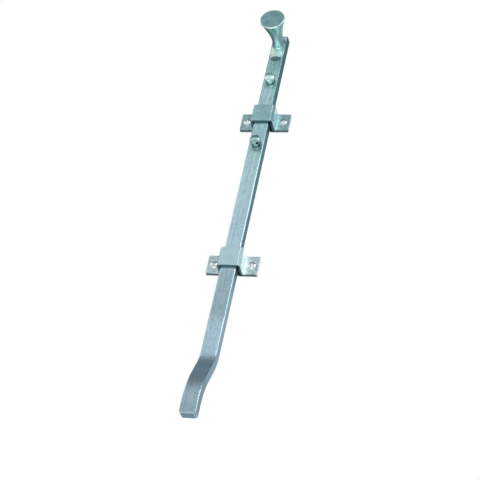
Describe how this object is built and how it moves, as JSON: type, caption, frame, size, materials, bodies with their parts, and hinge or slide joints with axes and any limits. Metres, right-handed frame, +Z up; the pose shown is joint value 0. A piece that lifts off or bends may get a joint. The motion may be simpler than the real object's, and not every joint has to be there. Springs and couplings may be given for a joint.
{
  "type": "cane bolt",
  "caption": "Cane bolt for a gate or door leaf: a cranked flat steel bar with a trumpet pull knob and mushroom stops slides through two bent strap guides.",
  "frame": {"origin": "on the gate's face, at the centre of the four wood screws that hold the two guides", "axes": "+Z up along the bar to the knob, +X across the bar, +Y into the gate"},
  "size_m": [0.0514, 0.0668, 0.4787],
  "materials": {
    "bar_steel": "linished along the bar, satin",
    "knob_steel": "turned satin, polished rim",
    "stud_steel": "turned satin",
    "guide_steel": "satin strip with pressed bends",
    "screw_steel": "bright plated",
    "spring_steel": "dull tempered strip"
  },
  "bodies": {
    "guides": {"upper_guide": "guide_steel", "lower_guide": "guide_steel", "upper_spring": "spring_steel", "lower_spring": "spring_steel", "upper_left_screw": "screw_steel", "upper_right_screw": "screw_steel", "lower_left_screw": "screw_steel", "lower_right_screw": "screw_steel"},
    "bolt": {"bolt_bar": "bar_steel", "pull_knob": "knob_steel", "knob_screw": "screw_steel", "upper_stop_stud": "stud_steel", "lower_stop_stud": "stud_steel"}
  },
  "joints": [
    {"name": "bolt_slide", "type": "slide", "parent": "guides", "child": "bolt", "axis": [0, 0, 1], "range_m": [-0.0299, 0.0243]}
  ]
}
